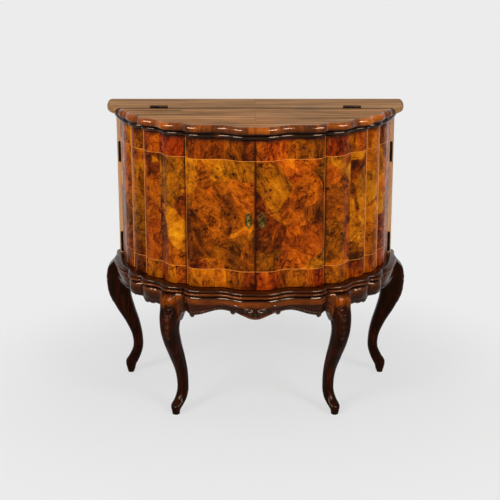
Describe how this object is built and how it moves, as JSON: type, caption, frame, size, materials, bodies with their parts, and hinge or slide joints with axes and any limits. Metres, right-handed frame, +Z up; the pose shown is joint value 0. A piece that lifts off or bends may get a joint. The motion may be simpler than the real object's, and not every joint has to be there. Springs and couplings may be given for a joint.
{
  "type": "bar cabinet",
  "caption": "Half-round bar cabinet in burl veneer with a serpentine front, lifting lid and hinged quarter-round doors, on a carved stand with cabriole legs.",
  "frame": {"origin": "on the floor, under the middle of the cabinet's width and depth", "axes": "+Z up, +Y towards the flat back, front towards -Y, +X to the right seen from the front"},
  "size_m": [0.9838, 0.4312, 0.9493],
  "materials": {
    "walnut_veneer": "glossy burl veneer",
    "dark_walnut": "dark polished walnut",
    "pale_walnut": "plain satin walnut",
    "ebonised_wood": "ebonised, polished",
    "clear_glass": "polished edge",
    "mirror": "silvered",
    "antique_brass": "dull antique",
    "dark_iron": "dark, oiled"
  },
  "bodies": {
    "frame": {"back_panel": "pale_walnut", "base_moulding": "walnut_veneer", "bead_moulding": "ebonised_wood", "bottom_board": "pale_walnut", "front_apron": "walnut_veneer", "front_leg_left": "dark_walnut", "front_leg_right": "dark_walnut", "glass_shelf": "clear_glass", "left_door_lower_hinge_fixed_leaf": "dark_iron", "left_door_lower_hinge_pin": "dark_iron", "left_door_upper_hinge_fixed_leaf": "dark_iron", "left_door_upper_hinge_pin": "dark_iron", "lid_left_hinge_fixed_leaf": "dark_iron", "lid_left_hinge_pin": "dark_iron", "lid_right_hinge_fixed_leaf": "dark_iron", "lid_right_hinge_pin": "dark_iron", "mirror": "mirror", "partition_left": "pale_walnut", "partition_right": "pale_walnut", "platform_board": "walnut_veneer", "rear_leg_left": "dark_walnut", "rear_leg_right": "dark_walnut", "rear_post_left": "pale_walnut", "rear_post_right": "pale_walnut", "rear_rail": "walnut_veneer", "right_door_lower_hinge_fixed_leaf": "dark_iron", "right_door_lower_hinge_pin": "dark_iron", "right_door_upper_hinge_fixed_leaf": "dark_iron", "right_door_upper_hinge_pin": "dark_iron", "shelf_batten_left": "pale_walnut", "shelf_batten_right": "pale_walnut", "side_apron_left": "walnut_veneer", "side_apron_right": "walnut_veneer", "top_frame": "walnut_veneer", "top_strip": "walnut_veneer"},
    "left_door": {"door_left": "walnut_veneer", "escutcheon_left": "antique_brass", "lock_keeper": "antique_brass", "left_door_lower_hinge_moving_leaf": "dark_iron", "left_door_upper_hinge_moving_leaf": "dark_iron"},
    "right_door": {"door_right": "walnut_veneer", "escutcheon_right": "antique_brass", "lock_case": "antique_brass", "right_door_lower_hinge_moving_leaf": "dark_iron", "right_door_upper_hinge_moving_leaf": "dark_iron"},
    "lid": {"lid": "walnut_veneer", "lid_left_hinge_moving_leaf": "dark_iron", "lid_right_hinge_moving_leaf": "dark_iron"},
    "bolt": {"lock_bolt": "antique_brass"}
  },
  "joints": [
    {"name": "left_door_hinge", "type": "hinge", "parent": "frame", "child": "left_door", "pos_m": [-0.43793, 0.1767, 0.66475], "axis": [0, 0, -1], "range_deg": [0, 110]},
    {"name": "right_door_hinge", "type": "hinge", "parent": "frame", "child": "right_door", "pos_m": [0.43793, 0.1767, 0.66475], "axis": [0, 0, 1], "range_deg": [0, 110]},
    {"name": "lid_hinge", "type": "hinge", "parent": "frame", "child": "lid", "pos_m": [0, 0.0665, 0.9448], "axis": [-1, 0, 0], "range_deg": [0, 100]},
    {"name": "bolt_slide", "type": "slide", "parent": "right_door", "child": "bolt", "axis": [-1, 0, 0], "range_m": [0, 0.016]}
  ]
}
